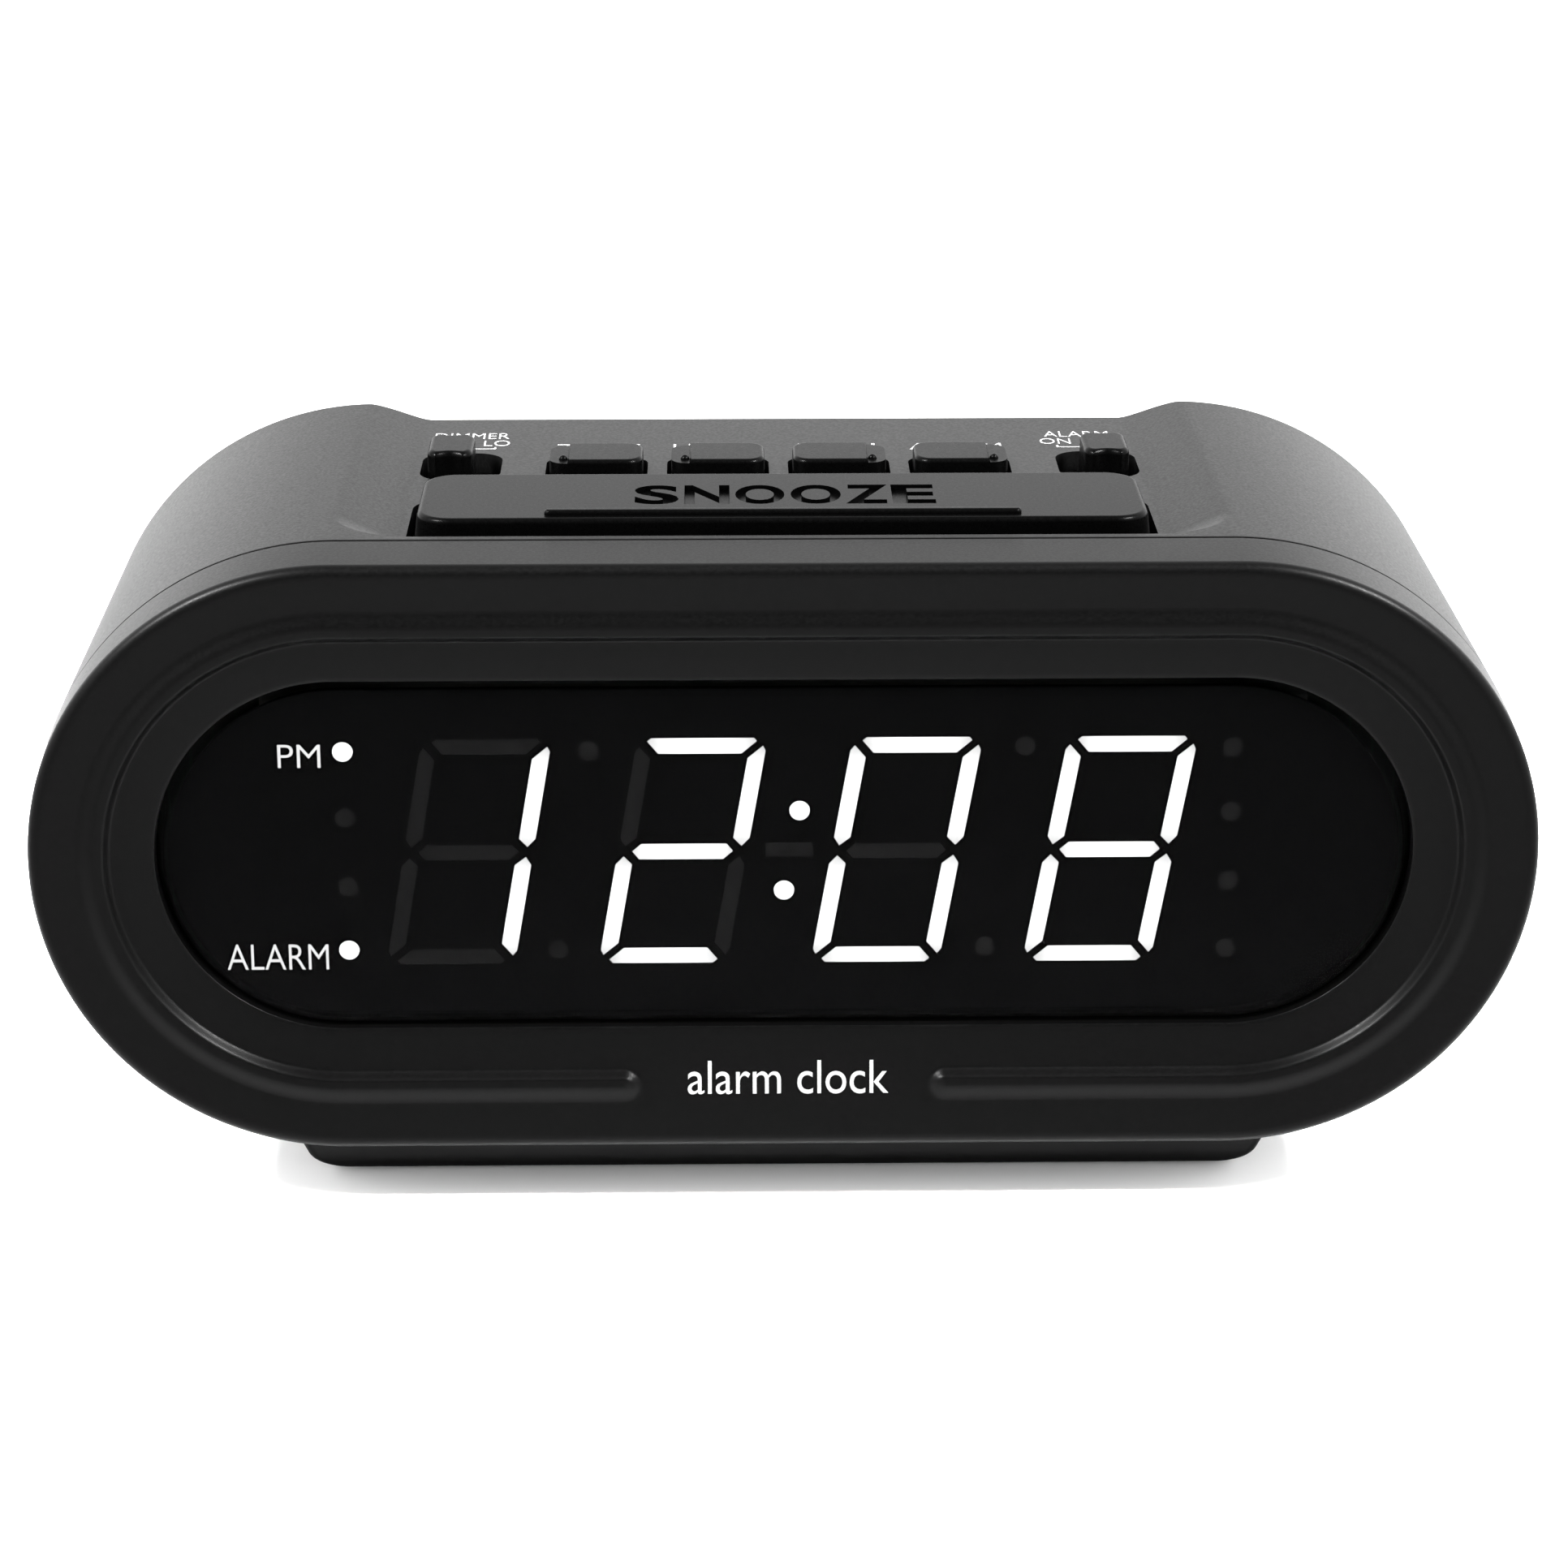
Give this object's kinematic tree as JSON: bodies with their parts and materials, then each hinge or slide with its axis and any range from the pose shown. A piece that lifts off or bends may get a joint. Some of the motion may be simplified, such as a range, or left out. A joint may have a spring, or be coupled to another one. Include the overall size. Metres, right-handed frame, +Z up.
{
  "type": "alarm clock",
  "caption": "Pill-fronted bedside alarm clock with an LED time display behind a smoked window, a long snooze bar, setting keys, slide switches and a battery door.",
  "frame": {"origin": "centre of the footprint at the underside of the rubber feet", "axes": "+X to the right seen from the front, +Y towards the back, +Z up; the display faces -Y"},
  "size_m": [0.1446, 0.0618, 0.0667],
  "materials": {
    "case_plastic": "fine spark-eroded texture, satin black",
    "control_plastic": "fine texture on the tops, smooth dark sides",
    "smoked_lens": "glossy smoked acrylic",
    "mask_black": "matt black film",
    "diffuser_white": "translucent white diffuser, lit from behind",
    "reflector_white": "moulded white",
    "circuit_board": "green solder mask",
    "component_black": "moulded epoxy",
    "plated_steel": "nickel-plated",
    "cell_wrap": "printed plastic sleeve, plain",
    "flex_cable": "flat flexible cable",
    "rubber_black": "matt rubber"
  },
  "bodies": {
    "case": {"front_bezel": "case_plastic", "rear_shell": "case_plastic", "display_window": "smoked_lens", "segment_mask": "mask_black", "diffuser_sheet": "diffuser_white", "reflector_block": "reflector_white", "display_board": "circuit_board", "clock_chip": "component_black", "voltage_regulator": "component_black", "clock_crystal": "plated_steel", "supply_capacitor": "component_black", "filter_capacitor": "component_black", "ribbon_cable": "flex_cable", "key_board": "circuit_board", "snooze_switch_left": "component_black", "snooze_switch_right": "component_black", "display_screw_left": "plated_steel", "display_screw_right": "plated_steel", "key_board_screw_left": "plated_steel", "key_board_screw_right": "plated_steel", "time_switch": "component_black", "hour_switch": "component_black", "minute_switch": "component_black", "alarm_switch": "component_black", "dimmer_slide_switch": "component_black", "alarm_slide_switch": "component_black", "buzzer": "component_black", "dc_jack": "component_black", "dc_jack_pin": "plated_steel", "backup_cell_1": "cell_wrap", "backup_cell_2": "cell_wrap", "contact_plate_1": "plated_steel", "contact_plate_2": "plated_steel", "contact_spring_1": "plated_steel", "contact_spring_2": "plated_steel", "case_screw_1": "plated_steel", "case_screw_2": "plated_steel", "case_screw_3": "plated_steel", "case_screw_4": "plated_steel", "rubber_foot_1": "rubber_black", "rubber_foot_2": "rubber_black", "rubber_foot_3": "rubber_black", "rubber_foot_4": "rubber_black"},
    "snooze": {"snooze_bar": "control_plastic", "snooze_plunger_left": "component_black", "snooze_plunger_right": "component_black"},
    "time_button": {"time_key": "control_plastic", "time_plunger": "component_black"},
    "hour_button": {"hour_key": "control_plastic", "hour_plunger": "component_black"},
    "minute_button": {"minute_key": "control_plastic", "minute_plunger": "component_black"},
    "alarm_button": {"alarm_key": "control_plastic", "alarm_plunger": "component_black"},
    "dimmer": {"dimmer_knob": "control_plastic", "dimmer_slide_lever": "component_black"},
    "alarm_slider": {"alarm_knob": "control_plastic", "alarm_slide_lever": "component_black"},
    "door": {"battery_door": "case_plastic"}
  },
  "joints": [
    {"name": "snooze_press", "type": "slide", "parent": "case", "child": "snooze", "axis": [0, 0, -1], "range_m": [0, 0.001], "stiffness_N_per_m": 1200},
    {"name": "time_key_press", "type": "slide", "parent": "case", "child": "time_button", "axis": [0, 0, -1], "range_m": [0, 0.0007], "stiffness_N_per_m": 1500},
    {"name": "hour_key_press", "type": "slide", "parent": "case", "child": "hour_button", "axis": [0, 0, -1], "range_m": [0, 0.0007], "stiffness_N_per_m": 1500},
    {"name": "minute_key_press", "type": "slide", "parent": "case", "child": "minute_button", "axis": [0, 0, -1], "range_m": [0, 0.0007], "stiffness_N_per_m": 1500},
    {"name": "alarm_key_press", "type": "slide", "parent": "case", "child": "alarm_button", "axis": [0, 0, -1], "range_m": [0, 0.0007], "stiffness_N_per_m": 1500},
    {"name": "dimmer_slide", "type": "slide", "parent": "case", "child": "dimmer", "axis": [1, 0, 0], "range_m": [0, 0.0019]},
    {"name": "alarm_slide", "type": "slide", "parent": "case", "child": "alarm_slider", "axis": [-1, 0, 0], "range_m": [0, 0.0019]},
    {"name": "battery_door_slide", "type": "slide", "parent": "case", "child": "door", "axis": [0, 1, 0], "range_m": [0, 0.036]}
  ]
}
